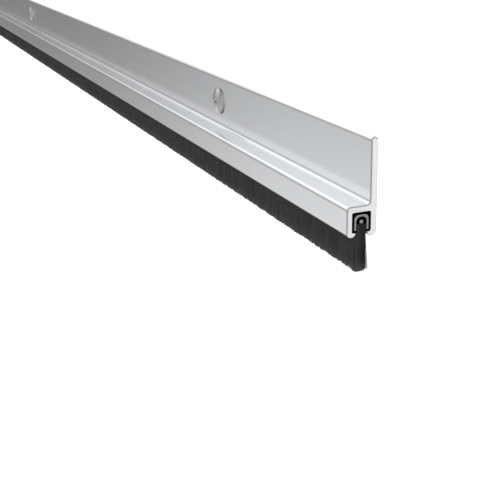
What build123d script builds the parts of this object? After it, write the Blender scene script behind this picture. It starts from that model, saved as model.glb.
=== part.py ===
from build123d import *
import os

os.makedirs("parts", exist_ok=True)

# Meeting stile brush seal: an aluminium carrier that is screwed to the face of a door's meeting stile,
# with a strip brush held in a channel along its lower edge.
# X runs along the strip, Y from the room (negative) to the door (positive), and Z up.
# The origin is on the face that lies against the door, half way along, on the line of the screws.

# Sections are drawn on Plane.YZ, where a sketch's own X is the model's Y and its Y is the model's Z.

# The whole strip
strip_length = 2100.0

# Strip brush: a steel channel pinches filament that is folded over a core wire
base_width = 4.5
base_height = 4.5
base_sheet = 0.6
base_corner_radius = 1.35
base_inner_radius = 1.4
wire_diameter = 1.2
fold_over_wire = 0.87
pack_slip = 0.03
neck_width = 3.0
tip_width = 3.7
filament_showing = 10.4

# Soft sleeve between the brush and the carrier
liner_thickness = 0.6
liner_corner_radius = 0.45
mouth_clearance = 0.15
slip = 0.02

# Extruded carrier
front_wall = 1.8
back_wall = 1.82
roof_thickness = 1.9
lip_thickness = 1.4
lip_nose = 0.25
slot_clearance = 0.25
heel_radius = 1.55
ledge_corner_radius = 1.0
root_radius = 1.1
flange_thickness = 2.1
flange_rise = 19.0
crest_radius = flange_thickness / 2

# Screws
screw_count = 6
screw_end_inset = 115.0
screw_above_ledge = 9.5
screw_length = 19.0
screw_diameter = 4.2
screw_neck_diameter = 3.2
screw_point_length = 4.5
screw_runout = 0.6
head_diameter = 9.8
head_rim = 0.5
head_dome = 1.5
recess_span = 4.6
recess_slot = 1.15
recess_depth = 1.5
recess_turn = 37.0
hole_clearance = 0.3

# Sizes that follow from the ones above
cavity_width = base_width + 2 * liner_thickness + 4 * slip
cavity_height = base_height + 2 * liner_thickness + 4 * slip
carrier_depth = front_wall + cavity_width + back_wall
channel_height = lip_thickness + cavity_height + roof_thickness
slot_width = neck_width + 2 * slot_clearance

ledge_z = -screw_above_ledge
crest_z = ledge_z + flange_rise
lip_z = ledge_z - channel_height
floor_z = lip_z + lip_thickness
cavity_top_z = floor_z + cavity_height
nose_z = floor_z - lip_nose
tip_z = lip_z - filament_showing

brush_y = -back_wall - cavity_width / 2
cavity_front_y = brush_y - cavity_width / 2
cavity_back_y = brush_y + cavity_width / 2
slot_front_y = brush_y - slot_width / 2
slot_back_y = brush_y + slot_width / 2

base_top_z = cavity_top_z - slip - liner_thickness - slip
base_bottom_z = base_top_z - base_height
base_inner_width = base_width - 2 * base_sheet
mouth_width = max(base_inner_width, neck_width + 2 * mouth_clearance)
wire_z = base_top_z - base_sheet - pack_slip - fold_over_wire - wire_diameter / 2
screw_pitch = (strip_length - 2 * screw_end_inset) / (screw_count - 1)


def run_along_strip(section):
    """Draws a section in the YZ plane out over the whole length of the strip."""
    return extrude(section, amount=strip_length / 2, both=True)


# Carrier: one extrusion. A flat flange with a round crest lies against the door,
# and a box channel with two hooked lips hangs from its lower front.
with BuildSketch(Plane.YZ) as carrier_section:
    with BuildLine():
        door_face = Line((0, lip_z + heel_radius), (0, crest_z - crest_radius))
        crest = JernArc(door_face @ 1, door_face % 1, crest_radius, 180)
        flange_face = Line(crest @ 1, (-flange_thickness, ledge_z + root_radius))
        root = JernArc(flange_face @ 1, flange_face % 1, root_radius, -90)
        ledge = Line(root @ 1, (-carrier_depth + ledge_corner_radius, ledge_z))
        brow = JernArc(ledge @ 1, ledge % 1, ledge_corner_radius, 90)
        front_face = Line(brow @ 1, (-carrier_depth, lip_z + heel_radius))
        front_heel = JernArc(front_face @ 1, front_face % 1, heel_radius, 90)
        front_toe = TangentArc(front_heel @ 1, (slot_front_y, nose_z), tangent=front_heel % 1)
        Polyline(
            front_toe @ 1,
            (slot_front_y, floor_z),
            (cavity_front_y, floor_z),
            (cavity_front_y, cavity_top_z),
            (cavity_back_y, cavity_top_z),
            (cavity_back_y, floor_z),
            (slot_back_y, floor_z),
            (slot_back_y, nose_z),
        )
        back_heel = JernArc((-heel_radius, lip_z), (1, 0), heel_radius, 90)
        TangentArc(back_heel @ 0, (slot_back_y, nose_z), tangent=(-1, 0))
    make_face()
    cavity_corners = carrier_section.vertices().filter_by(
        lambda v: abs(abs(v.X - brush_y) - cavity_width / 2) < 1e-6
        and min(abs(v.Y - floor_z), abs(v.Y - cavity_top_z)) < 1e-6
    )
    fillet(cavity_corners, radius=liner_corner_radius + slip)

carrier = run_along_strip(carrier_section.sketch)

# Each screw passes through a punched hole with clearance all round its thread
screw_x = [-strip_length / 2 + screw_end_inset + n * screw_pitch for n in range(screw_count)]
hole_radius = screw_diameter / 2 + hole_clearance
for x in screw_x:
    hole = Cylinder(hole_radius, 3 * flange_thickness, rotation=(90, 0, 0))
    carrier -= Pos(x, -flange_thickness / 2, 0) * hole

# Liner: a soft extruded sleeve that wraps the steel channel, with a slot for the filament
with BuildSketch(Plane.YZ) as liner_section:
    with Locations((brush_y, (floor_z + cavity_top_z) / 2)):
        RectangleRounded(cavity_width - 2 * slip, cavity_height - 2 * slip, liner_corner_radius)
    with BuildSketch(mode=Mode.SUBTRACT):
        with Locations((brush_y, (base_top_z + base_bottom_z) / 2)):
            Rectangle(base_width + 2 * slip, base_height + 2 * slip)
        with Locations((brush_y, (base_bottom_z + lip_z) / 2)):
            Rectangle(mouth_width, base_bottom_z - lip_z)
    shoulders = liner_section.vertices().filter_by(
        lambda v: abs(abs(v.X - brush_y) - base_width / 2 - slip) < 1e-6
        and abs(v.Y - base_top_z - slip) < 1e-6
    )
    fillet(shoulders, radius=base_corner_radius + slip)

brush_liner = run_along_strip(liner_section.sketch)

# Backing channel: steel strip rolled into a U with round shoulders, a little fuller in its bends
with BuildSketch(Plane.YZ) as base_section:
    with Locations((brush_y, base_bottom_z)):
        Rectangle(base_width, base_height, align=(Align.CENTER, Align.MIN))
    fillet(base_section.vertices().group_by(Axis.Y)[-1], radius=base_corner_radius)
    with BuildSketch(mode=Mode.SUBTRACT) as hollow:
        with Locations((brush_y, base_bottom_z)):
            Rectangle(base_inner_width, base_height - base_sheet, align=(Align.CENTER, Align.MIN))
        fillet(hollow.vertices().group_by(Axis.Y)[-1], radius=base_inner_radius)

backing_channel = run_along_strip(base_section.sketch)

# Core wire: the filament is folded over it
with BuildSketch(Plane.YZ) as wire_section:
    with Locations((brush_y, wire_z)):
        Circle(wire_diameter / 2)

core_wire = run_along_strip(wire_section.sketch)

# Filament pack: an arch over the wire, pinched by the steel legs, then a neck through the slot
# and a slight spread to the trimmed tips
pack_half = base_inner_width / 2 - pack_slip
arch_z = base_top_z - base_sheet - pack_slip - pack_half
with BuildSketch(Plane.YZ) as pack_section:
    with BuildLine():
        arch = CenterArc((brush_y, arch_z), pack_half, 0, 180)
        Polyline(
            arch @ 1,
            (brush_y - pack_half, base_bottom_z),
            (brush_y - neck_width / 2, floor_z),
            (brush_y - neck_width / 2, lip_z),
            (brush_y - tip_width / 2, tip_z),
            (brush_y + tip_width / 2, tip_z),
            (brush_y + neck_width / 2, lip_z),
            (brush_y + neck_width / 2, floor_z),
            (brush_y + pack_half, base_bottom_z),
            arch @ 0,
        )
    make_face()
    with Locations((brush_y, wire_z)):
        Circle(wire_diameter / 2 + slip, mode=Mode.SUBTRACT)

bristle_pack = run_along_strip(pack_section.sketch)

# Screw: a low round head with a cross recess, a thin neck, the thread's outer size and a point.
# The thread starts just behind the carrier, inside the door.
under_head = -flange_thickness
rim_top = under_head - head_rim
dome_top = rim_top - head_dome
screw_end = under_head + screw_length
point_start = screw_end - screw_point_length
neck_radius = screw_neck_diameter / 2
thread_radius = screw_diameter / 2
thread_rise = thread_radius - neck_radius
with BuildSketch() as screw_section:
    with BuildLine():
        dome = TangentArc((0, dome_top), (head_diameter / 2, rim_top), tangent=(1, 0))
        Polyline(
            dome @ 1,
            (head_diameter / 2, under_head),
            (neck_radius, under_head),
            (neck_radius, screw_runout),
            (thread_radius, screw_runout + thread_rise),
            (thread_radius, point_start),
            (0, screw_end),
            (0, dome_top),
        )
    make_face()

blank = revolve(screw_section.sketch, axis=Axis.Y)

# The recess is a cross whose arms taper in towards its floor
with BuildSketch(Plane.XZ.offset(-dome_top)) as recess_mouth:
    Rectangle(recess_span, recess_slot)
    Rectangle(recess_slot, recess_span)

recess = extrude(recess_mouth.sketch, amount=-recess_depth, taper=12)
screw_blank = blank - recess

fixing_screws = [
    Pos(x, 0, 0) * screw_blank.rotate(Axis.Y, n * recess_turn) for n, x in enumerate(screw_x)
]

for node, shape in (
    ("carrier", carrier),
    ("brush_liner", brush_liner),
    ("backing_channel", backing_channel),
    ("core_wire", core_wire),
    ("bristle_pack", bristle_pack),
    ("fixing_screws", Compound(children=fixing_screws)),
):
    export_step(shape, f"parts/{node}.step")
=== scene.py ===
import math

import bpy
import numpy as np
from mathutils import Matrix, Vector


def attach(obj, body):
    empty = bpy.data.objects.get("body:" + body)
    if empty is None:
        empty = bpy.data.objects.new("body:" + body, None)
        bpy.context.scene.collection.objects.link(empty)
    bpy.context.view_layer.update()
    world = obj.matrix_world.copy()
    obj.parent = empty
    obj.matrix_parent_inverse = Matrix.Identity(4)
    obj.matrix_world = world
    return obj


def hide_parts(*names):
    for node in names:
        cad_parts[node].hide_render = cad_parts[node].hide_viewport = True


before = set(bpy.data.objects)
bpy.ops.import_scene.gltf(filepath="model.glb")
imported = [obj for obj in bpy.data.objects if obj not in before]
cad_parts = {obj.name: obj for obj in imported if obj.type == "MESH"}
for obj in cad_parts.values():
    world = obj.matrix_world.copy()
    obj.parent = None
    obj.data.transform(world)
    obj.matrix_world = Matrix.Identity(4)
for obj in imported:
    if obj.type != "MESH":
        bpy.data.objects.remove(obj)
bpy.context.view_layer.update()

# ---- Studio ----
# A pale floor well below the strip, a soft studio all round, and the camera at the photograph's
# place. The strip is shown as it hangs on a door, clear of the floor.
FLOOR_DROP = 0.62
FLOOR_SIZE = 40.0
FLOOR_PAINT = (0.86, 0.86, 0.86, 1.0)
FLOOR_LIFT = 0.70
ROOM_LEVEL = 0.05
# Where each soft panel stands, how tight it is and how bright its middle is
PANELS = (
    ((-0.985, 0.0, -0.174), 60.0, 0.19),
    ((-0.848, 0.0, 0.530), 30.0, 1.14),
    ((-0.848, -0.375, 0.375), 30.0, 0.92),
    ((-0.848, -0.530, 0.0), 30.0, 0.10),
    ((-0.848, -0.375, -0.375), 30.0, 0.68),
    ((-0.695, -0.509, 0.509), 20.0, 0.28),
    ((-0.695, -0.509, -0.509), 20.0, 0.32),
    ((-0.690, -0.680, 0.240), 20.0, 0.45),
    ((-0.423, -0.906, 0.0), 12.0, 0.34),
    ((-0.250, -0.780, -0.570), 15.0, 0.60),
    ((-0.900, 0.350, 0.250), 30.0, 1.5),
    ((0.60, -0.780, 0.140), 8.0, 2.2),
    ((0.5, 0.0, 0.866), 6.0, 0.60),
    ((0.866, 0.0, -0.5), 6.0, 0.52),
    ((0.866, 0.5, 0.0), 6.0, 0.98),
    ((0.1, 1.0, 0.0), 4.0, 0.75),
)


def new_material(name):
    """Starts a node material and returns it with its node tree and its shader."""
    material = bpy.data.materials.new(name)
    material.use_nodes = True
    tree = material.node_tree
    return material, tree, tree.nodes["Principled BSDF"]


def add_node(tree, kind, values=None, **settings):
    """Adds a node, gives its plain settings, then the values of its inputs."""
    node = tree.nodes.new(kind)
    for key, value in settings.items():
        setattr(node, key, value)
    for key, value in (values or {}).items():
        node.inputs[key].default_value = value
    return node


def add_math(tree, operation, first, second=None, third=None):
    """Adds a maths node, fed by sockets or by plain numbers, and returns its output."""
    node = add_node(tree, "ShaderNodeMath", operation=operation)
    for place, value in enumerate((first, second, third)):
        if isinstance(value, bpy.types.NodeSocket):
            tree.links.new(value, node.inputs[place])
        elif value is not None:
            node.inputs[place].default_value = value
    return node.outputs[0]


def paint_floor():
    """Pale floor paint that keeps its shadows, lifted to the photograph's white for the camera."""
    material, tree, shader = new_material("floor_paint")
    shader.inputs["Base Color"].default_value = FLOOR_PAINT
    shader.inputs["Roughness"].default_value = 0.9
    shader.inputs["Specular IOR Level"].default_value = 0.0
    shader.inputs["Emission Color"].default_value = (1.0, 1.0, 1.0, 1.0)
    rays = add_node(tree, "ShaderNodeLightPath")
    lift = add_math(tree, "MULTIPLY", rays.outputs["Is Camera Ray"], FLOOR_LIFT)
    tree.links.new(lift, shader.inputs["Emission Strength"])
    return material


bpy.ops.object.select_all(action="DESELECT")
bpy.ops.mesh.primitive_plane_add(size=FLOOR_SIZE, location=(0.0, 0.0, -FLOOR_DROP))
floor = bpy.context.object
floor.name = "studio_floor"
floor.data.materials.append(paint_floor())
floor.visible_glossy = False


def build_studio_light():
    """The room: white where the camera looks, and round the strip a dim space with large soft
    panels that fade from their middles outwards. Most stand to the left, a way off the line of
    the strip, so that its metal darkens towards the far end. The last ones light the crest, the
    brush, the top, the sawn end, the door side and the back."""
    world = bpy.data.worlds.new("studio")
    bpy.context.scene.world = world
    world.use_nodes = True
    tree = world.node_tree
    tree.nodes.clear()
    out = add_node(tree, "ShaderNodeOutputWorld")
    where = add_node(tree, "ShaderNodeTexCoord")
    rays = add_node(tree, "ShaderNodeLightPath")

    room = ROOM_LEVEL
    for direction, tightness, strength in PANELS:
        middle = add_node(tree, "ShaderNodeVectorMath", operation="DOT_PRODUCT")
        tree.links.new(where.outputs["Generated"], middle.inputs[0])
        middle.inputs[1].default_value = Vector(direction).normalized()
        fall = add_math(tree, "MULTIPLY_ADD", middle.outputs["Value"], tightness, -tightness)
        room = add_math(tree, "MULTIPLY_ADD", add_math(tree, "EXPONENT", fall), strength, room)

    seen = rays.outputs["Is Camera Ray"]
    level = add_math(tree, "MULTIPLY_ADD", seen, add_math(tree, "SUBTRACT", 1.0, room), room)
    glow = add_node(tree, "ShaderNodeBackground", {"Color": (1.0, 1.0, 1.0, 1.0)})
    tree.links.new(level, glow.inputs["Strength"])
    tree.links.new(glow.outputs[0], out.inputs["Surface"])


build_studio_light()

camera_data = bpy.data.cameras.new("camera")
camera_data.sensor_width = 36.0
camera_data.lens = 68.75064
camera_data.clip_start = 0.01
camera_data.clip_end = 100.0
camera = bpy.data.objects.new("camera", camera_data)
camera.location = (1.270801, -0.129428, 0.068315)
camera.rotation_euler = [math.radians(a) for a in (70.3096667, 1.2180775, 67.1475382)]
bpy.context.scene.collection.objects.link(camera)
bpy.context.scene.camera = camera
bpy.context.scene.view_settings.view_transform = "Standard"

# ---- Carrier ----
# One length of clear anodised aluminium extrusion: a flat flange with a round crest that lies on
# the door, and below it a box channel with two hooked lips. It is sawn to length and punched for
# the screws. The die leaves a fine line where each flat meets a round.
MM = 0.001
strip_length = 2100.0
brush_y = -4.71
flange_thickness = 2.1
ledge_z = -9.5
crest_z = 9.5
lip_z = -18.58
floor_z = -17.18
cavity_top_z = -11.4
carrier_depth = 9.4
cavity_width = 5.78
slot_width = 3.5
nose_rise = 1.15
heel_radius = 1.55
ledge_corner_radius = 1.0
root_radius = 1.1
cavity_corner_radius = 0.47
crest_radius = flange_thickness / 2
die_line_width = 0.10
die_line_depth = 0.035
sawn_edge = 0.10
sawn_edge_width = 0.38
fresh_edge_width = 0.13
hole_radius = 2.4
screw_x = [-935.0, -561.0, -187.0, 187.0, 561.0, 935.0]

ANODISED = (0.80, 0.81, 0.825)
SAWN = (0.86, 0.87, 0.88)
# Darker tone for the die lines and the sawn edges: painted shade
PAINTED_LINE_SHADE_TONE = (0.33, 0.335, 0.34)

pen = {"y": 0.0, "z": 0.0}
flat_end = 0.05


def start_section(name, y, z, x=-strip_length / 2):
    """Puts down the first point of a section, which is drawn across the strip in millimetres."""
    bpy.ops.object.select_all(action="DESELECT")
    bpy.ops.mesh.primitive_plane_add(size=MM, location=(x * MM, y * MM, z * MM))
    piece = bpy.context.object
    piece.name = name
    bpy.ops.object.mode_set(mode="EDIT")
    bpy.ops.mesh.select_mode(type="VERT")
    bpy.ops.mesh.select_all(action="SELECT")
    bpy.ops.mesh.merge(type="CENTER")
    pen.update(x=x, y=y, z=z)
    return piece


def line_to(y, z):
    """Draws a straight run."""
    step = (0.0, (y - pen["y"]) * MM, (z - pen["z"]) * MM)
    bpy.ops.mesh.extrude_region_move(TRANSFORM_OT_translate={"value": step})
    pen.update(y=y, z=z)


def flat_to(y, z):
    """Draws a flat face's run with a short end piece at each side, so that its shine stays flat
    up to the rounds beside it."""
    run = math.hypot(y - pen["y"], z - pen["z"])
    across, rise = (y - pen["y"]) / run * flat_end, (z - pen["z"]) / run * flat_end
    line_to(pen["y"] + across, pen["z"] + rise)
    line_to(y - across, z - rise)
    line_to(y, z)


def arc_round(y, z, degrees, steps):
    """Draws an arc about a centre; a plus turn goes from +Y towards +Z."""
    bpy.ops.mesh.spin(
        steps=steps,
        angle=-math.radians(degrees),
        center=(pen["x"] * MM, y * MM, z * MM),
        axis=(1.0, 0.0, 0.0),
    )
    turn = math.radians(degrees)
    dy, dz = pen["y"] - y, pen["z"] - z
    pen.update(
        y=y + dy * math.cos(turn) - dz * math.sin(turn),
        z=z + dy * math.sin(turn) + dz * math.cos(turn),
    )


def die_line():
    """Draws the fine V that the die leaves down a face that looks into the room."""
    line_to(pen["y"] + die_line_depth, pen["z"] - die_line_width / 2)
    line_to(pen["y"] - die_line_depth, pen["z"] - die_line_width / 2)


def merge_points(apart=2e-6):
    """Merges, in edit mode, the points that lie on each other."""
    bpy.ops.mesh.select_all(action="SELECT")
    bpy.ops.mesh.remove_doubles(threshold=apart)


def face_outwards():
    """Turns, in edit mode, all faces outwards."""
    bpy.ops.mesh.select_all(action="SELECT")
    bpy.ops.mesh.normals_make_consistent(inside=False)


def close_section():
    """Joins the last point to the first and fills the section."""
    merge_points()
    bpy.ops.mesh.select_all(action="SELECT")
    bpy.ops.mesh.edge_face_add()


def pick(piece):
    """Selects one piece alone and makes it the active one."""
    bpy.ops.object.select_all(action="DESELECT")
    piece.select_set(True)
    bpy.context.view_layer.objects.active = piece


def finish_piece(piece, smooth_angle=30.0):
    """Leaves edit mode, puts the piece's place into its mesh and smooths its rounds."""
    if bpy.context.mode != "OBJECT":
        bpy.ops.object.mode_set(mode="OBJECT")
    pick(piece)
    bpy.ops.object.transform_apply(location=True, rotation=True, scale=True)
    bpy.ops.object.shade_smooth_by_angle(angle=math.radians(smooth_angle))


def select_faces(piece, wanted):
    """Selects, in edit mode, just the faces that a test picks by their place or normal."""
    bpy.ops.mesh.select_mode(type="FACE")
    bpy.ops.mesh.select_all(action="DESELECT")
    bpy.ops.object.mode_set(mode="OBJECT")
    for face in piece.data.polygons:
        face.select = wanted(face)
    bpy.ops.object.mode_set(mode="EDIT")


def draw_out(length, chamfer=0.0, chamfer_width=None):
    """Draws the filled section out along the strip and breaks the sharp edge of both sawn ends."""
    bpy.ops.mesh.select_all(action="SELECT")
    if chamfer:
        bpy.ops.transform.translate(value=(chamfer * MM, 0.0, 0.0))
    bpy.ops.mesh.extrude_region_move(
        TRANSFORM_OT_translate={"value": ((length - 2 * chamfer) * MM, 0.0, 0.0)}
    )
    face_outwards()
    if chamfer:
        select_faces(bpy.context.object, lambda face: abs(face.normal.x) > 0.9)
        width = chamfer_width or chamfer
        bpy.ops.mesh.inset(thickness=width * MM, depth=chamfer * MM, use_boundary=True)


def mapped_space(tree, values):
    """The piece's own space, drawn out or turned for a pattern."""
    where = add_node(tree, "ShaderNodeTexCoord")
    mapping = add_node(tree, "ShaderNodeMapping", values)
    tree.links.new(where.outputs["Object"], mapping.inputs["Vector"])
    return mapping.outputs[0]


def add_pattern(tree, kind, values, space=None, output=0, **settings):
    """Adds a pattern in the piece's own space, or in a mapped one, and returns its output."""
    pattern = add_node(tree, f"ShaderNodeTex{kind}", values, **settings)
    space = space or add_node(tree, "ShaderNodeTexCoord").outputs["Object"]
    tree.links.new(space, pattern.inputs["Vector"])
    return pattern.outputs[output]


def scaled(tone, share):
    """A lighter or darker tone."""
    return [level * share for level in tone]


def shade_between(tree, shader, pattern, dark, pale):
    """Colours a surface from dark to pale as a pattern rises."""
    shade = add_node(tree, "ShaderNodeMix", data_type="RGBA")
    shade.inputs[6].default_value = [*dark, 1.0]
    shade.inputs[7].default_value = [*pale, 1.0]
    tree.links.new(pattern, shade.inputs[0])
    tree.links.new(shade.outputs[2], shader.inputs["Base Color"])


def set_roughness(tree, shader, pattern, rise, least):
    """Lets a surface's roughness rise from its least value with a pattern."""
    dull = add_math(tree, "MULTIPLY_ADD", pattern, rise, least)
    tree.links.new(dull, shader.inputs["Roughness"])


def add_relief(tree, shader, height, strength, distance):
    """Gives a surface a relief that is too fine to model."""
    bump = add_node(tree, "ShaderNodeBump", {"Strength": strength, "Distance": distance})
    tree.links.new(height, bump.inputs["Height"])
    tree.links.new(bump.outputs[0], shader.inputs["Normal"])


def make_anodised(name, tone, roughness):
    """Satin anodised aluminium: faint draw lines along the strip and a fine etched grain."""
    material, tree, shader = new_material(name)
    shader.inputs["Metallic"].default_value = 1.0
    drawn_out = mapped_space(tree, {"Scale": (3.0, 2600.0, 2600.0)})
    draw_lines = add_pattern(
        tree, "Noise", {"Scale": 1.0, "Detail": 4.0, "Roughness": 0.6}, drawn_out
    )
    grain = add_pattern(tree, "Noise", {"Scale": 5200.0, "Detail": 3.0, "Roughness": 0.7})
    smudges = add_pattern(tree, "Noise", {"Scale": 22.0, "Detail": 3.0, "Roughness": 0.5})
    shade_between(tree, shader, draw_lines, scaled(tone, 0.965), scaled(tone, 1.03))
    dull = add_math(tree, "MULTIPLY_ADD", draw_lines, 0.10, roughness - 0.08)
    set_roughness(tree, shader, smudges, 0.06, dull)
    height = add_math(tree, "MULTIPLY_ADD", draw_lines, 0.5, grain)
    add_relief(tree, shader, height, 0.10, 0.00004)
    return material


def make_sawn(name, tone, roughness):
    """A sawn end: fine parallel saw marks across bare metal."""
    material, tree, shader = new_material(name)
    shader.inputs["Metallic"].default_value = 1.0
    turned = mapped_space(tree, {"Rotation": (math.radians(24.0), 0.0, 0.0)})
    teeth = {"Scale": 1900.0, "Distortion": 2.5, "Detail": 2.0, "Detail Scale": 0.6}
    marks = add_pattern(tree, "Wave", teeth, turned, "Fac", bands_direction="Z")
    shade_between(tree, shader, marks, scaled(tone, 0.93), tone)
    set_roughness(tree, shader, marks, 0.10, roughness)
    add_relief(tree, shader, marks, 0.15, 0.00003)
    return material


toe_run = brush_y - slot_width / 2 + carrier_depth - heel_radius
front_toe_radius = (toe_run**2 + nose_rise**2) / (2 * nose_rise)
back_run = -heel_radius - brush_y - slot_width / 2
back_toe_radius = (back_run**2 + nose_rise**2) / (2 * nose_rise)
slot_front_y = brush_y - slot_width / 2
slot_back_y = brush_y + slot_width / 2
cavity_front_y = brush_y - cavity_width / 2
cavity_back_y = brush_y + cavity_width / 2

carrier = start_section("carrier_extrusion", 0.0, lip_z + heel_radius)
flat_to(0.0, crest_z - crest_radius)
arc_round(-crest_radius, crest_z - crest_radius, 180.0, 24)
die_line()
flat_to(-flange_thickness, ledge_z + root_radius + die_line_width)
die_line()
arc_round(-flange_thickness - root_radius, ledge_z + root_radius, -90.0, 12)
flat_to(-carrier_depth + ledge_corner_radius, ledge_z)
arc_round(-carrier_depth + ledge_corner_radius, ledge_z - ledge_corner_radius, 90.0, 14)
die_line()
flat_to(-carrier_depth, lip_z + heel_radius)
arc_round(-carrier_depth + heel_radius, lip_z + heel_radius, 90.0, 14)
arc_round(
    -carrier_depth + heel_radius,
    lip_z + front_toe_radius,
    math.degrees(math.asin(toe_run / front_toe_radius)),
    10,
)
line_to(slot_front_y, floor_z)
flat_to(cavity_front_y + cavity_corner_radius, floor_z)
arc_round(cavity_front_y + cavity_corner_radius, floor_z + cavity_corner_radius, -90.0, 6)
flat_to(cavity_front_y, cavity_top_z - cavity_corner_radius)
arc_round(cavity_front_y + cavity_corner_radius, cavity_top_z - cavity_corner_radius, -90.0, 6)
flat_to(cavity_back_y - cavity_corner_radius, cavity_top_z)
arc_round(cavity_back_y - cavity_corner_radius, cavity_top_z - cavity_corner_radius, -90.0, 6)
flat_to(cavity_back_y, floor_z + cavity_corner_radius)
arc_round(cavity_back_y - cavity_corner_radius, floor_z + cavity_corner_radius, -90.0, 6)
flat_to(slot_back_y, floor_z)
line_to(slot_back_y, lip_z + nose_rise)
arc_round(
    -heel_radius,
    lip_z + back_toe_radius,
    math.degrees(math.asin(back_run / back_toe_radius)),
    10,
)
arc_round(-heel_radius, lip_z + heel_radius, 90.0, 14)
close_section()
draw_out(strip_length, sawn_edge, sawn_edge_width)
finish_piece(carrier)

# The saw's burr is dressed off along the room side; the other edges are left nearly sharp
hair = 0.01
crest_shoulder = 0.3
fresh_share = fresh_edge_width / sawn_edge_width
for edge in carrier.data.edges:
    ends = (carrier.data.vertices[v] for v in edge.vertices)
    outer, inner = sorted(ends, key=lambda v: abs(v.co.x))
    step_out = (abs(inner.co.x) - abs(outer.co.x)) / MM
    y, z = outer.co.y / MM, outer.co.z / MM
    on_flange_or_ledge = y < -flange_thickness + hair and z > ledge_z - hair
    on_crest = z > crest_z - crest_radius + crest_shoulder
    on_front = y < -carrier_depth + ledge_corner_radius + hair and z > lip_z + heel_radius - hair
    dressed = on_flange_or_ledge or on_crest or on_front
    if 0.5 * sawn_edge < step_out < 2 * sawn_edge and not dressed:
        inner.co.y = outer.co.y + (inner.co.y - outer.co.y) * fresh_share
        inner.co.z = outer.co.z + (inner.co.z - outer.co.z) * fresh_share


def cut_with(piece, tool, solver):
    """Cuts a tool's shape out of a piece and takes the tool away."""
    pick(piece)
    cut = piece.modifiers.new("cut", "BOOLEAN")
    cut.object = tool
    cut.operation = "DIFFERENCE"
    cut.solver = solver
    bpy.ops.object.modifier_apply(modifier=cut.name)
    bpy.data.objects.remove(tool)


def punch_holes(piece, xs, radius):
    """Punches a clearance hole through the flange for each screw."""
    punches = []
    for x in xs:
        bpy.ops.mesh.primitive_cylinder_add(
            vertices=40,
            radius=radius * MM,
            depth=4 * flange_thickness * MM,
            location=(x * MM, -flange_thickness / 2 * MM, 0.0),
            rotation=(math.pi / 2, 0.0, 0.0),
        )
        punches.append(bpy.context.object)
    for punch in punches:
        punch.select_set(True)
    bpy.context.view_layer.objects.active = punches[0]
    bpy.ops.object.join()
    cut_with(piece, bpy.context.object, "FAST")


punch_holes(carrier, screw_x, hole_radius)
finish_piece(carrier)

carrier.data.materials.append(make_anodised("anodised_aluminium", ANODISED, 0.17))
carrier.data.materials.append(make_sawn("sawn_aluminium", SAWN, 0.42))
carrier.data.materials.append(make_anodised("painted_groove_and_edge_shade", PAINTED_LINE_SHADE_TONE, 0.40))
# The faces of the die lines and the bevels round the sawn ends take a darker copy of the anodising:
# painted shade along these grooves and edges.
line_places = (
    (-flange_thickness, crest_z - crest_radius - die_line_width / 2),
    (-flange_thickness, ledge_z + root_radius + die_line_width / 2),
    (-carrier_depth, ledge_z - ledge_corner_radius - die_line_width / 2),
)
SAWN_FACE, PAINTED_SHADE_SLOT = 1, 2
for face in carrier.data.polygons:
    middle = face.center / MM
    in_die_line = abs(face.normal.z) > 0.2 and any(
        abs(middle.y - y) < die_line_depth and abs(middle.z - z) < die_line_width / 2
        for y, z in line_places
    )
    if abs(face.normal.x) > 0.995:
        face.material_index = SAWN_FACE
    elif abs(face.normal.x) > 0.2 or in_die_line:
        face.material_index = PAINTED_SHADE_SLOT
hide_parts("carrier")
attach(carrier, "root")

# ---- Liner ----
# A soft black sleeve, extruded in rubbery vinyl and slid along the channel with the brush inside.
# It grips the steel on three sides and turns in under its legs.
slip = 0.02
base_width = 4.5
base_height = 4.5
base_sheet = 0.6
base_corner_radius = 1.35
liner_corner_radius = 0.45
base_top_z = -12.04
base_bottom_z = base_top_z - base_height
base_inner_width = base_width - 2 * base_sheet
LINER_BLACK = (0.0015, 0.0015, 0.0016)


def make_vinyl(name, tone):
    """Dull black vinyl with a slight orange peel."""
    material, tree, shader = new_material(name)
    shader.inputs["Specular IOR Level"].default_value = 0.0
    peel = add_pattern(tree, "Noise", {"Scale": 2400.0, "Detail": 3.0, "Roughness": 0.6})
    shade_between(tree, shader, peel, scaled(tone, 0.7), scaled(tone, 1.4))
    set_roughness(tree, shader, peel, 0.2, 0.6)
    add_relief(tree, shader, peel, 0.2, 0.00003)
    return material


liner_half = cavity_width / 2 - slip
liner_top_z = cavity_top_z - slip
liner_foot_z = floor_z + slip
inner_half = base_width / 2 + slip
shoulder = base_corner_radius + slip
mouth_half = base_inner_width / 2
corner = liner_corner_radius

liner = start_section("liner_sleeve", brush_y - mouth_half, liner_foot_z)
flat_to(brush_y - liner_half + corner, liner_foot_z)
arc_round(brush_y - liner_half + corner, liner_foot_z + corner, -90.0, 6)
flat_to(brush_y - liner_half, liner_top_z - corner)
arc_round(brush_y - liner_half + corner, liner_top_z - corner, -90.0, 6)
flat_to(brush_y + liner_half - corner, liner_top_z)
arc_round(brush_y + liner_half - corner, liner_top_z - corner, -90.0, 6)
flat_to(brush_y + liner_half, liner_foot_z + corner)
arc_round(brush_y + liner_half - corner, liner_foot_z + corner, -90.0, 6)
flat_to(brush_y + mouth_half, liner_foot_z)
line_to(brush_y + mouth_half, base_bottom_z - slip)
line_to(brush_y + inner_half, base_bottom_z - slip)
flat_to(brush_y + inner_half, base_top_z + slip - shoulder)
arc_round(brush_y + inner_half - shoulder, base_top_z + slip - shoulder, 90.0, 10)
flat_to(brush_y - inner_half + shoulder, base_top_z + slip)
arc_round(brush_y - inner_half + shoulder, base_top_z + slip - shoulder, 90.0, 10)
flat_to(brush_y - inner_half, base_bottom_z - slip)
line_to(brush_y - mouth_half, base_bottom_z - slip)
close_section()
draw_out(strip_length)
finish_piece(liner)
liner.data.materials.append(make_vinyl("black_vinyl", LINER_BLACK))
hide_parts("brush_liner")
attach(liner, "root")

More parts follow.
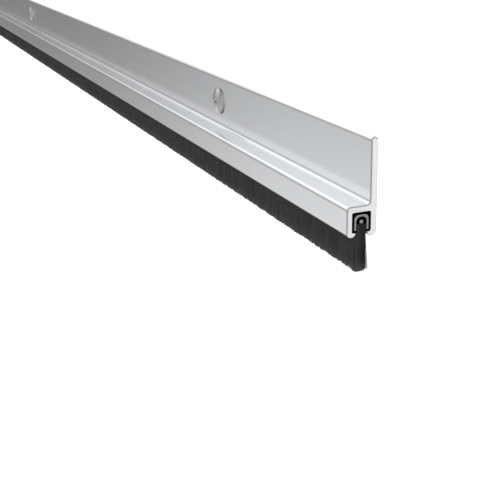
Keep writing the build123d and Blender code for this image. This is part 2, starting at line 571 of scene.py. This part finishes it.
# ---- Backing channel and core wire ----
# The channel is galvanised strip rolled into a U with round shoulders. It pinches the filament,
# which is folded over a drawn steel wire, and all three are cut to length together.
inner_round = 1.4
sheared_edge = 0.04
wire_radius = 0.6
wire_end_round = 0.16
wire_z = -14.14
GALVANISED = (0.28, 0.284, 0.288)
DRAWN_STEEL = (0.32, 0.32, 0.32)


def make_steel(name, tone, roughness, spangle):
    """Cut or rolled steel with the mottle of its zinc and fine rolling marks."""
    material, tree, shader = new_material(name)
    shader.inputs["Metallic"].default_value = 1.0
    crystal_size = {"Scale": spangle, "Randomness": 1.0}
    crystals = add_pattern(tree, "Voronoi", crystal_size, output="Distance")
    drawn_out = mapped_space(tree, {"Scale": (30.0, 3500.0, 3500.0)})
    rolling = add_pattern(tree, "Noise", {"Scale": 1.0, "Detail": 4.0}, drawn_out)
    mottle = add_math(tree, "MULTIPLY", crystals, 0.6)
    mottle = add_math(tree, "MULTIPLY_ADD", rolling, 0.5, mottle)
    shade_between(tree, shader, mottle, scaled(tone, 0.85), scaled(tone, 1.15))
    set_roughness(tree, shader, mottle, 0.15, roughness)
    add_relief(tree, shader, mottle, 0.2, 0.00003)
    return material


def soften_edges(piece, width, segments, angle=30.0):
    """Rounds the edges of a piece that turn by more than an angle."""
    pick(piece)
    soften = piece.modifiers.new("soft_edges", "BEVEL")
    soften.width = width * MM
    soften.segments = segments
    soften.limit_method = "ANGLE"
    soften.angle_limit = math.radians(angle)
    bpy.ops.object.modifier_apply(modifier=soften.name)


outer_half = base_width / 2
channel_inner_top = base_top_z - base_sheet
backing = start_section("backing_u", brush_y - outer_half, base_bottom_z)
flat_to(brush_y - outer_half, base_top_z - base_corner_radius)
arc_round(brush_y - outer_half + base_corner_radius, base_top_z - base_corner_radius, -90.0, 14)
flat_to(brush_y + outer_half - base_corner_radius, base_top_z)
arc_round(brush_y + outer_half - base_corner_radius, base_top_z - base_corner_radius, -90.0, 14)
flat_to(brush_y + outer_half, base_bottom_z)
line_to(brush_y + mouth_half, base_bottom_z)
flat_to(brush_y + mouth_half, channel_inner_top - inner_round)
arc_round(brush_y + mouth_half - inner_round, channel_inner_top - inner_round, 90.0, 10)
flat_to(brush_y - mouth_half + inner_round, channel_inner_top)
arc_round(brush_y - mouth_half + inner_round, channel_inner_top - inner_round, 90.0, 10)
flat_to(brush_y - mouth_half, base_bottom_z)
close_section()
draw_out(strip_length, sheared_edge)
finish_piece(backing)
backing.data.materials.append(make_steel("galvanised_strip", GALVANISED, 0.38, 900.0))
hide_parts("backing_channel")
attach(backing, "root")

bpy.ops.object.select_all(action="DESELECT")
bpy.ops.mesh.primitive_cylinder_add(
    vertices=32,
    radius=wire_radius * MM,
    depth=strip_length * MM,
    location=(0.0, brush_y * MM, wire_z * MM),
    rotation=(0.0, math.pi / 2, 0.0),
)
wire = bpy.context.object
wire.name = "core_wire_drawn"
soften_edges(wire, wire_end_round, 3)
finish_piece(wire, 40.0)
wire.data.materials.append(make_steel("drawn_steel", DRAWN_STEEL, 0.34, 1500.0))
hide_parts("core_wire")
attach(wire, "root")

# ---- Brush ----
# Black nylon filament, folded over the wire and pinched by the steel. Below the lips it stands as
# a thin curtain, trimmed level, with single filaments that lean and end a little unevenly.
pack_slip = 0.03
pack_half = mouth_half - pack_slip
arch_z = channel_inner_top - pack_slip - pack_half
neck_half = 1.5
tip_half = 1.85
tip_z = -28.98
spread_curve = 1.4
pale_tip_length = 5.5
filament_radius = 0.105
filament_taper = 0.95
NYLON = (0.065, 0.065, 0.066)
NYLON_PALE = (0.19, 0.19, 0.193)
PAINTED_END_SHADE = (0.038, 0.038, 0.039)
PAINTED_END_SHADE_PALE = (0.21, 0.21, 0.213)
PAINTED_FOLD_SHADE = (0.001, 0.001, 0.001)
random_draw = np.random.default_rng(20)


def map_range(tree, value, start, end, top=1.0):
    """Brings a value that runs from start to end to one that runs from nought to a top."""
    node = add_node(tree, "ShaderNodeMapRange", {"From Min": start, "From Max": end, "To Max": top})
    tree.links.new(value, node.inputs["Value"])
    return node.outputs[0]


def make_filament(name, tone, pale_tone, gleam=0.06):
    """Black nylon: each filament and clump a little lighter or darker, with a dull gleam and
    tips painted paler, painted light towards the ends."""
    material, tree, shader = new_material(name)
    shader.inputs["Specular IOR Level"].default_value = gleam
    drawn_out = mapped_space(tree, {"Scale": (900.0, 500.0, 22.0)})
    clumps = add_pattern(tree, "Noise", {"Scale": 1.0, "Detail": 4.0, "Roughness": 0.75}, drawn_out)
    streaks = map_range(tree, clumps, 0.32, 0.70)
    where = add_node(tree, "ShaderNodeTexCoord")
    split = add_node(tree, "ShaderNodeSeparateXYZ")
    tree.links.new(where.outputs["Object"], split.inputs[0])
    # Painted light: the last part of each filament towards its tip is painted paler
    tip_share = map_range(tree, split.outputs[2], (tip_z + pale_tip_length) * MM, tip_z * MM, top=0.95)
    painted_tip_light = add_math(tree, "POWER", tip_share, 2.2)
    pale = add_math(tree, "MULTIPLY_ADD", streaks, 0.19, painted_tip_light)
    shade_between(tree, shader, pale, tone, pale_tone)
    set_roughness(tree, shader, streaks, -0.12, 0.62)
    add_relief(tree, shader, clumps, 0.25, 0.00005)
    return material


nylon = make_filament("black_nylon", NYLON, NYLON_PALE)
# A darker copy of the nylon for the sawn ends: painted shade
painted_end_shade_nylon = make_filament("black_nylon_painted_end_shade", PAINTED_END_SHADE, PAINTED_END_SHADE_PALE, 0.03)
# A near-black copy of the nylon: painted shade inside the channel
painted_fold_shade_nylon = make_filament("black_nylon_painted_fold_shade", PAINTED_FOLD_SHADE, PAINTED_FOLD_SHADE, 0.0)


def claim_filament(piece, material):
    """Says what a piece of the brush is made of, and what it stands for and moves with."""
    piece.data.materials.append(material)
    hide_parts("bristle_pack")
    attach(piece, "root")


# The folded pack inside the channel, a little slimmer and shorter than its place. Its near-black
# colour is painted shade for the fold deep in the channel.
tuck = 0.06
pack_gap = 0.25
folded_half = pack_half - tuck
folded_neck = neck_half - tuck
folded = start_section("folded_pack", brush_y + folded_half, arch_z)
arc_round(brush_y, arch_z, 180.0, 20)
line_to(brush_y - folded_half, base_bottom_z)
line_to(brush_y - folded_neck, floor_z)
line_to(brush_y - folded_neck, lip_z)
line_to(brush_y + folded_neck, lip_z)
line_to(brush_y + folded_neck, floor_z)
line_to(brush_y + folded_half, base_bottom_z)
line_to(brush_y + folded_half, arch_z)
close_section()
draw_out(strip_length - 2 * pack_gap)
bpy.ops.mesh.select_all(action="SELECT")
bpy.ops.transform.translate(value=(pack_gap * MM, 0.0, 0.0))
finish_piece(folded)
claim_filament(folded, painted_fold_shade_nylon)


def half_width_at(z):
    """Half of the brush's thickness at a height below the channel."""
    down = np.clip((lip_z - z) / (lip_z - tip_z), 0.0, 1.0)
    return neck_half + (tip_half - neck_half) * down**spread_curve


def select_edges_at(piece, x):
    """Selects, in edit mode, the edges of the open end at a place along the strip."""
    bpy.ops.object.mode_set(mode="EDIT")
    bpy.ops.mesh.select_mode(type="EDGE")
    bpy.ops.mesh.select_all(action="DESELECT")
    bpy.ops.object.mode_set(mode="OBJECT")
    places = piece.matrix_world
    for edge in piece.data.edges:
        ends = [(places @ piece.data.vertices[v].co).x / MM for v in edge.vertices]
        edge.select = all(abs(e - x) < 0.1 for e in ends)
    bpy.ops.object.mode_set(mode="EDIT")


# The curtain's core: a closed body with a fine pleat for each row of filament. It is drawn 1 mm
# to each side and then brought to its real width. Near the sawn ends its door side draws in,
# because the cut filament has frayed away there.
pleat = 0.5
curtain_gap = 1.5
core_levels = (-17.6, -19.6, -22.4, -25.2, -27.7)
core_inset = 0.24
ridge_range = (-0.13, 0.05)
second_ridge = 0.07
foot_range = (-0.35, 0.45)
pleat_shift = 0.1
draw_in = 0.75
draw_in_from = 5.0
draw_in_over = 3.0
pleat_count = int((strip_length - 2 * curtain_gap) / pleat)
curtain_half = pleat_count * pleat / 2

curtain = start_section("brush_curtain", brush_y, core_levels[0], -curtain_half)
for z in core_levels[1:]:
    line_to(brush_y - 1.0, z)
line_to(brush_y, core_levels[-1])
for z in reversed(core_levels):
    line_to(brush_y + 1.0, z)
line_to(brush_y, core_levels[0])
merge_points()
bpy.ops.mesh.select_all(action="SELECT")
bpy.ops.mesh.extrude_region_move(TRANSFORM_OT_translate={"value": (pleat * MM, 0.0, 0.0)})
bpy.ops.object.mode_set(mode="OBJECT")
repeat = curtain.modifiers.new("pleats", "ARRAY")
repeat.use_relative_offset = False
repeat.use_constant_offset = True
repeat.constant_offset_displace = (pleat * MM, 0.0, 0.0)
repeat.count = pleat_count
repeat.use_merge_vertices = True
repeat.merge_threshold = 0.02 * MM
bpy.ops.object.modifier_apply(modifier=repeat.name)
for end_x in (-curtain_half, curtain_half):
    select_edges_at(curtain, end_x)
    bpy.ops.mesh.edge_face_add()
    bpy.ops.mesh.quads_convert_to_tris()
    bpy.ops.object.mode_set(mode="OBJECT")
bpy.ops.object.mode_set(mode="EDIT")
face_outwards()
finish_piece(curtain, 180.0)

points = np.empty(len(curtain.data.vertices) * 3)
curtain.data.vertices.foreach_get("co", points)
points = points.reshape(-1, 3) / MM
column = np.rint(points[:, 0] / pleat + pleat_count / 2).astype(int)
column_count = column.max() + 1
side = np.rint(points[:, 1] - brush_y)
ridge = random_draw.uniform(*ridge_range, (3, column_count))
ridge[:, ::2] += second_ridge
foot = random_draw.uniform(*foot_range, column_count)
shift = ridge[(side + 1).astype(int), column]
points[:, 1] = brush_y + side * (half_width_at(points[:, 2]) - core_inset + shift)
from_end = np.abs(points[:, 0]) - strip_length / 2
points[:, 1] -= draw_in * np.maximum(side, 0.0) * np.clip(
    (from_end + draw_in_from) / draw_in_over, 0.0, 1.0
)
low = points[:, 2] < core_levels[-1] + hair
points[:, 2] = np.where(low, points[:, 2] + foot[column], points[:, 2])
points[:, 0] += random_draw.uniform(-pleat_shift, pleat_shift, column_count)[column]
curtain.data.vertices.foreach_set("co", (points * MM).ravel())
curtain.data.update()
claim_filament(curtain, nylon)

# One filament: a three-sided rod that thins towards its worn end
bpy.ops.object.select_all(action="DESELECT")
bpy.ops.mesh.primitive_cylinder_add(vertices=3, radius=1.0, depth=1.0, end_fill_type="TRIFAN")
rod = bpy.context.object
bpy.ops.object.mode_set(mode="EDIT")
bpy.ops.mesh.select_all(action="SELECT")
bpy.ops.mesh.dissolve_limited(angle_limit=math.radians(1.0))
bpy.ops.mesh.select_all(action="SELECT")
bpy.ops.mesh.quads_convert_to_tris()
bpy.ops.object.mode_set(mode="OBJECT")
rod_points = np.array([v.co[:] for v in rod.data.vertices])
rod_points[rod_points[:, 2] > 0.0, :2] *= filament_taper
rod_faces = np.array([f.vertices[:] for f in rod.data.polygons])
rod_is_end = np.array([abs(f.normal.z) > 0.5 for f in rod.data.polygons])
bpy.data.objects.remove(rod)

# Each wave of the lean: how far it leans, its length, and how far and how slowly it wanders
LEAN_WAVES = ((0.16, 2.1, 1.3, 7.7), (0.12, 0.83, 2.0, 3.1), (0.10, 11.0, 0.0, 1.0))


def lean_along(x):
    """How the filament leans sideways from clump to clump along the strip."""
    return sum(
        lean * np.sin(x / length + wander * np.sin(x / slow))
        for lean, length, wander, slow in LEAN_WAVES
    )


def plant_filaments(name, roots, tips, radii):
    """Copies the filament from each root to its tip, all in one mesh."""
    count = len(roots)
    axis = tips - roots
    length = np.linalg.norm(axis, axis=1, keepdims=True)
    axis /= length
    side_way = np.cross(axis, (0.0, 1.0, 0.0))
    side_way /= np.linalg.norm(side_way, axis=1, keepdims=True)
    front_way = np.cross(axis, side_way)
    twist = random_draw.uniform(0.0, math.tau, (count, 1))
    first = side_way * np.cos(twist) + front_way * np.sin(twist)
    second = np.cross(axis, first)
    spots = (
        roots[:, None, :]
        + rod_points[None, :, 0:1] * radii[:, None, None] * first[:, None, :]
        + rod_points[None, :, 1:2] * radii[:, None, None] * second[:, None, :]
        + (rod_points[None, :, 2:3] + 0.5) * (axis * length)[:, None, :]
    )
    corners = rod_faces[None, :, :] + len(rod_points) * np.arange(count)[:, None, None]
    mesh = bpy.data.meshes.new(name)
    mesh.vertices.add(count * len(rod_points))
    mesh.vertices.foreach_set("co", (spots * MM).ravel())
    mesh.loops.add(corners.size)
    mesh.loops.foreach_set("vertex_index", corners.ravel())
    mesh.polygons.add(corners.size // 3)
    mesh.polygons.foreach_set("loop_start", np.arange(0, corners.size, 3))
    mesh.update(calc_edges=True)
    mesh.polygons.foreach_set("use_smooth", np.tile(~rod_is_end, count))
    piece = bpy.data.objects.new(name, mesh)
    bpy.context.scene.collection.objects.link(piece)
    return piece


# The rows of filament, in bays along the strip. Tufts end a little unevenly, some filaments are
# worn short, a few stray, and near the sawn ends most on the door side have frayed short.
bay_count = 6
bay_gap = 0.15
bay_length = (strip_length - 2 * bay_gap) / bay_count
end_gap = 0.12
last_x = strip_length / 2 - end_gap
row_density = {"front": 14.0, "back": 11.0, "inside": 19.0}
inside_reach = 0.86
outer_reach = (0.84, 0.985)
inside_root_z = core_levels[3]
outer_root_z = (-17.5, -17.0)
tuft_pitch = 0.6
tuft_unevenness = 0.2
usual_shortness = 0.35
worn_share = 0.30
worn_shortness = (0.2, 3.0)
fray_side = 0.45
fray_length = 4.0
fray_depth = 4.5
unfrayed_share = 0.30
lean_scatter = 0.10
root_lean = 0.5
stray_share = 0.05
stray_lean = 0.55
stray_spread = (0.9, 1.08)
thickness_range = (0.85, 1.1)
for bay in range(bay_count):
    bay_start = -strip_length / 2 + bay_gap + bay * bay_length
    all_roots, all_tips = [], []
    tuft_place = np.arange(0.0, bay_length + 2 * tuft_pitch, tuft_pitch)
    tuft_rise = random_draw.uniform(0.0, tuft_unevenness, len(tuft_place))
    for row, density in row_density.items():
        count = int(bay_length * density)
        x = bay_start + (np.arange(count) + random_draw.uniform(0.0, 1.0, count)) / density
        if row == "inside":
            place = random_draw.uniform(-inside_reach, inside_reach, count)
            root_z = np.full(count, inside_root_z)
        else:
            sign = -1.0 if row == "front" else 1.0
            place = sign * random_draw.uniform(*outer_reach, count)
            root_z = random_draw.uniform(*outer_root_z, count)
        short = random_draw.exponential(usual_shortness, count)
        worn_short = (random_draw.random(count) < worn_share) | (short > worn_shortness[1])
        short = np.where(worn_short, random_draw.uniform(*worn_shortness, count), short)
        end_z = tip_z + np.interp(x - bay_start, tuft_place, tuft_rise) + short
        near_end = (place > fray_side) & (np.abs(x) > strip_length / 2 - fray_length)
        frayed = near_end & (random_draw.random(count) > unfrayed_share)
        end_z = np.where(frayed, lip_z - random_draw.uniform(0.0, fray_depth, count), end_z)
        lean = lean_along(x) + random_draw.normal(0.0, lean_scatter, count)
        stray = random_draw.random(count) < stray_share
        lean = np.where(stray, lean + random_draw.normal(0.0, stray_lean, count), lean)
        spread = np.where(stray, random_draw.uniform(*stray_spread, count), 1.0)
        drop = (root_z - end_z) / (lip_z - tip_z)
        root_y = brush_y + place * (half_width_at(root_z) - filament_radius)
        end_y = brush_y + place * spread * (half_width_at(end_z) - filament_radius)
        start_x = np.clip(x - lean * drop * root_lean, -last_x, last_x)
        end_x = np.clip(x + lean * drop, -last_x, last_x)
        kept = end_z < root_z
        all_roots.append(np.stack([start_x, root_y, root_z], axis=1)[kept])
        all_tips.append(np.stack([end_x, end_y, end_z], axis=1)[kept])
    roots = np.concatenate(all_roots)
    tips = np.concatenate(all_tips)
    radii = filament_radius * random_draw.uniform(*thickness_range, len(roots))
    claim_filament(plant_filaments(f"filaments_{bay + 1}", roots, tips, radii), nylon)

# Both sheared ends show the cut pack, right up to its fold round the wire. The front filaments are
# whole and keep the plain nylon; the rest take a darker copy, painted shade on the end. Towards the
# door side more and more have frayed short, and those left flare out.
end_count = 900
end_depth = 2.0
cut_radius = 0.078
fold_foot_z = wire_z - 0.72
root_half = pack_half - 0.2
root_scatter, tip_scatter, side_scatter = 0.05, 0.12, 0.08
thinning_at = (0.3, 0.5, 0.7, 0.85, 1.0)
share_left = (1.0, 0.5, 0.32, 0.24, 0.18)
end_shortness = 0.38
most_short = 2.6
flare_range = (0.1, 0.85)
front_row = -0.75
all_roots, all_tips, in_front = [], [], []
for end in (-1.0, 1.0):
    back = random_draw.uniform(end_gap, end_depth, end_count)
    place = random_draw.uniform(-1.0, 1.0, end_count)
    full_length = random_draw.random(end_count) < np.interp(place, thinning_at, share_left)
    root_z = fold_foot_z + random_draw.normal(0.0, root_scatter, end_count)
    end_z = tip_z + np.minimum(random_draw.exponential(end_shortness, end_count), most_short)
    frayed_z = lip_z - random_draw.uniform(0.0, fray_depth, end_count)
    end_z = np.where(full_length, end_z, frayed_z)
    root_y = brush_y + place * root_half
    flare = np.maximum(place, 0.0) ** 3 * random_draw.uniform(*flare_range, end_count)
    spread = half_width_at(end_z) - filament_radius + np.where(full_length, flare, 0.0)
    end_y = brush_y + place * (spread + random_draw.normal(0.0, side_scatter, end_count))
    start_x = end * (strip_length / 2 - back)
    end_x = start_x + random_draw.normal(0.0, tip_scatter, end_count)
    end_x = np.clip(end_x, -last_x, last_x)
    all_roots.append(np.stack([start_x, root_y, root_z], axis=1))
    all_tips.append(np.stack([end_x, end_y, end_z], axis=1))
    in_front.append(place < front_row)
roots = np.concatenate(all_roots)
tips = np.concatenate(all_tips)
radii = np.full(len(roots), cut_radius)
end_filaments = plant_filaments("filaments_at_ends", roots, tips, radii)
claim_filament(end_filaments, painted_end_shade_nylon)
end_filaments.data.materials.append(nylon)
# The front filaments keep the plain nylon; the rest keep the painted end shade
plain_front_slots = np.repeat(np.concatenate(in_front), len(rod_faces)).astype(np.int32)
end_filaments.data.polygons.foreach_set("material_index", plain_front_slots)

# ---- Screws ----
# Six identical plated steel screws with a low round head and a cross recess, each driven through
# a punched hole in the flange into the door.
head_radius = 4.9
head_rim = 0.5
head_dome = 1.5
rim_break = 0.12
under_head = -flange_thickness
rim_top = under_head - head_rim
dome_top = rim_top - head_dome
dome_rise = rim_top - dome_top
dome_radius = (head_radius**2 + dome_rise**2) / (2 * dome_rise)
screw_length = 19.0
point_length = 4.5
screw_end = under_head + screw_length
point_start = screw_end - point_length
point_blunt = 0.5
point_radius = 0.22
core_radius = 1.6
thread_radius = 2.1
thread_start = 0.9
thread_pitch = 1.5
thread_turns = 10
thread_root = core_radius - 0.25
tooth_half = 0.42
recess_span = 4.6
recess_slot = 1.15
recess_depth = 1.5
recess_taper = 12.0
recess_worn = 0.10
recess_turn = 37.0
PLATED = (0.64, 0.64, 0.63)
# Darker plating for the cross recess: painted shade
PAINTED_RECESS_SHADE = (0.42, 0.42, 0.415)
ROLLED_RIM = (0.66, 0.66, 0.655)


def make_plated(name, tone, roughness=0.26):
    """Bright plated steel, a little brushed by the heading die and by handling."""
    material, tree, shader = new_material(name)
    shader.inputs["Metallic"].default_value = 1.0
    grain = add_pattern(tree, "Noise", {"Scale": 1400.0, "Detail": 4.0, "Roughness": 0.65})
    shade_between(tree, shader, grain, scaled(tone, 0.88), scaled(tone, 1.06))
    set_roughness(tree, shader, grain, 0.12, roughness - 0.04)
    add_relief(tree, shader, grain, 0.12, 0.00004)
    return material


def turn_screw_blank():
    """Turns the head, neck, core and point from one half outline."""
    half_angle = math.degrees(math.asin(head_radius / dome_radius))
    blank = start_section("screw_blank", dome_top, 0.0, 0.0)
    arc_round(dome_top + dome_radius, 0.0, -half_angle, 14)
    line_to(rim_top + rim_break, head_radius)
    line_to(under_head - rim_break, head_radius)
    line_to(under_head, head_radius - rim_break)
    line_to(under_head, core_radius)
    line_to(point_start, core_radius)
    line_to(screw_end - point_blunt, point_radius)
    line_to(screw_end, 0.0)
    bpy.ops.mesh.select_all(action="SELECT")
    bpy.ops.mesh.spin(
        steps=48, angle=math.tau, center=(0.0, 0.0, 0.0), axis=(0.0, 1.0, 0.0), use_auto_merge=True
    )
    merge_points(5e-6)
    face_outwards()
    finish_piece(blank, 35.0)
    return blank


def cut_recess(blank):
    """Sinks the driver's cross into the dome, its arms tapering in towards the floor."""
    reach = recess_depth + 0.4
    side_taper = math.tan(math.radians(recess_taper)) * recess_depth * MM
    end_taper = 2.2 * side_taper
    for turned in (0.0, math.pi / 2):
        bpy.ops.mesh.primitive_cube_add(
            size=1.0, location=(0.0, (dome_top + recess_depth - reach / 2) * MM, 0.0)
        )
        bar = bpy.context.object
        bar.scale = (recess_span * MM, reach * MM, recess_slot * MM)
        bpy.ops.object.transform_apply(location=False, rotation=False, scale=True)
        for v in bar.data.vertices:
            if v.co.y > 0:
                v.co.x -= math.copysign(end_taper, v.co.x)
                v.co.z -= math.copysign(side_taper, v.co.z)
        bar.rotation_euler = (0.0, turned, 0.0)
        bpy.ops.object.transform_apply(location=True, rotation=True, scale=True)
        cut_with(blank, bar, "EXACT")
    soften_edges(blank, recess_worn, 2, 38.0)


def wind_thread(blank):
    """Winds a sharp ridge round the core. It rises over its first part, and at the point it draws
    in with the core and stops short of the end."""
    first_rise, rise_length = 0.35, 1.2
    fade_short, stop_short = 0.15, 0.05
    bpy.ops.mesh.primitive_circle_add(vertices=3, radius=MM, location=(0.0, 0.0, 0.0))
    ridge_piece = bpy.context.object
    tooth = ((thread_root, -tooth_half), (thread_root, tooth_half), (thread_radius, 0.0))
    for v, (r, h) in zip(ridge_piece.data.vertices, tooth):
        v.co = (r * MM, 0.0, h * MM)
    wind = ridge_piece.modifiers.new("winding", "SCREW")
    wind.axis = "Z"
    wind.screw_offset = thread_pitch * MM
    wind.iterations = thread_turns
    wind.steps = wind.render_steps = 24
    wind.use_merge_vertices = False
    bpy.ops.object.modifier_apply(modifier=wind.name)
    bpy.ops.object.mode_set(mode="EDIT")
    bpy.ops.mesh.select_all(action="DESELECT")
    bpy.ops.mesh.select_non_manifold(extend=False, use_boundary=True, use_wire=False)
    bpy.ops.mesh.fill(use_beauty=True)
    face_outwards()
    bpy.ops.object.mode_set(mode="OBJECT")
    for v in ridge_piece.data.vertices:
        along = thread_start + v.co.z / MM
        fade = max(0.0, min(1.0, (screw_end - fade_short - along) / (screw_end - point_start)))
        rise = max(0.0, min(1.0, first_rise + (along - thread_start) / rise_length))
        on_crest = math.hypot(v.co.x, v.co.y) / MM > core_radius + 0.1
        fit = fade * rise if on_crest else fade
        v.co = (v.co.x * fit, min(along, screw_end - stop_short) * MM, -v.co.y * fit)
    ridge_piece.data.update()
    finish_piece(ridge_piece, 30.0)
    blank.select_set(True)
    bpy.context.view_layer.objects.active = blank
    bpy.ops.object.join()


screw_master = turn_screw_blank()
cut_recess(screw_master)
wind_thread(screw_master)
finish_piece(screw_master, 32.0)
screw_master.data.materials.append(make_plated("plated_steel", PLATED))
screw_master.data.materials.append(make_plated("recess_painted_shade", PAINTED_RECESS_SHADE))
screw_master.data.materials.append(make_plated("rolled_rim", ROLLED_RIM, 0.55))

# The walls and floor of the cross take a darker copy of the plating, painted shade in the recess,
# and the rolled rim is duller
PAINTED_RECESS_SLOT, RIM = 1, 2
recess_reach = 0.6 * recess_span
below_dome = 0.12
rim_band = 0.2
for face in screw_master.data.polygons:
    middle = face.center / MM
    off_axis = math.hypot(middle.x, middle.z)
    if off_axis < recess_reach:
        dome_y = dome_top + dome_radius - math.sqrt(dome_radius**2 - off_axis**2)
        if dome_y + below_dome < middle.y < 0.0:
            face.material_index = PAINTED_RECESS_SLOT
    elif off_axis > head_radius - rim_band and middle.y > rim_top - 0.02:
        face.material_index = RIM

# Each screw is a copy of the first, driven to its own turn
screws = [screw_master]
for _ in screw_x[1:]:
    screw = screw_master.copy()
    screw.data = screw_master.data.copy()
    bpy.context.scene.collection.objects.link(screw)
    screws.append(screw)
for n, (screw, x) in enumerate(zip(screws, screw_x)):
    screw.name = f"screw_{n + 1}"
    screw.rotation_euler = (0.0, math.radians(n * recess_turn), 0.0)
    screw.location = (x * MM, 0.0, 0.0)
    pick(screw)
    bpy.ops.object.transform_apply(location=True, rotation=True, scale=True)
    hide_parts("fixing_screws")
    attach(screw, "root")
